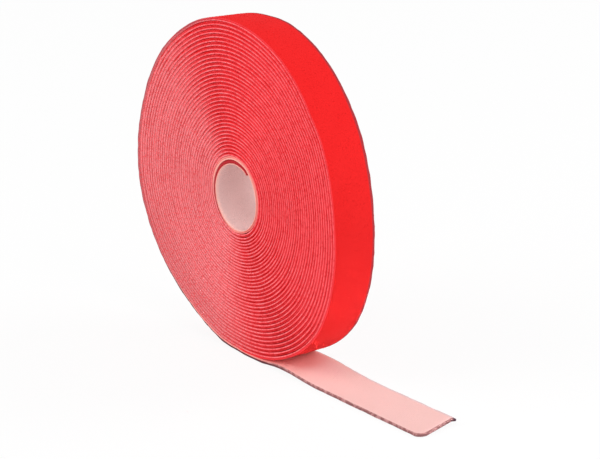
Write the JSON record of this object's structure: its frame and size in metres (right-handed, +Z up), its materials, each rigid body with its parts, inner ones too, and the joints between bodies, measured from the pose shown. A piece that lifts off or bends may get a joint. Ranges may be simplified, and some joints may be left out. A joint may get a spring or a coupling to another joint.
{
  "type": "hook and loop tape roll",
  "caption": "Coreless roll of back-to-back hook and loop tape standing on its rim, hook sheet inside each turn and loop pile outside, with a free tail that lifts off the floor.",
  "frame": {"origin": "on the floor under the roll's middle, at the middle of the tape's width", "axes": "+X along the tail away from the roll, +Y along the roll's axis, +Z up from the floor"},
  "size_m": [0.1958, 0.02, 0.1419],
  "materials": {
    "hook_sheet": "pale pink moulded hooks, slightly translucent, soft sheen",
    "loop_pile": "bright red brushed loop pile, velvety"
  },
  "bodies": {
    "roll": {"loop_winding": "loop_pile", "hook_winding": "hook_sheet"},
    "tail": {"loop_tail": "loop_pile", "hook_tail": "hook_sheet"}
  },
  "joints": [
    {"name": "tail_lift", "type": "hinge", "parent": "roll", "child": "tail", "pos_m": [0.06, 0, 0.0019], "axis": [0, -1, 0], "range_deg": [0, 75]}
  ]
}
